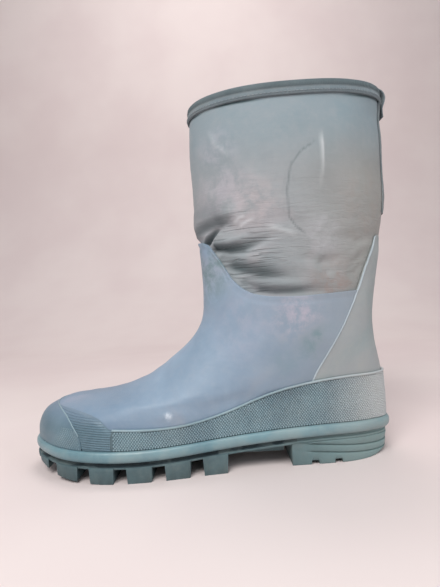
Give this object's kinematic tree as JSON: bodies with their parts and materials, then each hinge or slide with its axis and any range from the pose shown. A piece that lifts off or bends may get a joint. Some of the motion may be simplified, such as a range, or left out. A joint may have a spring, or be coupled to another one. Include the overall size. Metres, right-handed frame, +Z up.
{
  "type": "rain boot",
  "caption": "Mid-height rain boot with a lugged rubber foot, crosshatched foxing, ribbed toe sides, a soft neoprene shaft and a back pull loop.",
  "frame": {"origin": "on the floor, under the middle of the boot's bounding box", "axes": "+Z up the shaft, toe towards -X, heel towards +X, the outer side of this left boot towards -Y"},
  "size_m": [0.3102, 0.1102, 0.3035],
  "materials": {
    "foot_rubber": "semi-gloss moulded rubber with a chalky bloom",
    "sole_rubber": "satin, dusty tread rubber",
    "neoprene": "matte smooth-faced neoprene with dusty smudges",
    "lining": "matte knit",
    "webbing": "matte woven tape",
    "footbed_foam": "matte moulded foam",
    "midsole_foam": "matte filler",
    "board": "matte fibreboard",
    "steel": "plain strip steel"
  },
  "bodies": {
    "foot": {"outsole": "sole_rubber", "heel_block": "sole_rubber", "welt_bead": "foot_rubber", "midsole": "midsole_foam", "shank": "steel", "insole_board": "board", "footbed": "footbed_foam", "footbed_cover": "lining", "vamp": "foot_rubber", "heel_counter": "foot_rubber", "heel_stiffener": "board", "foxing_band": "foot_rubber", "toe_cap": "foot_rubber", "toe_wing_outer": "foot_rubber", "toe_wing_inner": "foot_rubber", "neoprene_sock": "neoprene", "neoprene_flex": "neoprene", "sock_lining": "lining", "flex_lining": "lining"},
    "shaft": {"neoprene_shaft": "neoprene", "shaft_lining": "lining", "collar_binding": "webbing", "collar_thread": "webbing", "back_tape": "webbing", "pull_loop": "webbing"}
  },
  "joints": [
    {"name": "ankle_flex", "type": "hinge", "parent": "foot", "child": "shaft", "pos_m": [0.06867, 0, 0.205], "axis": [0, -1, 0], "range_deg": [-10, 12], "stiffness_Nm_per_rad": 3, "deforming": ["neoprene_flex", "flex_lining"]}
  ]
}
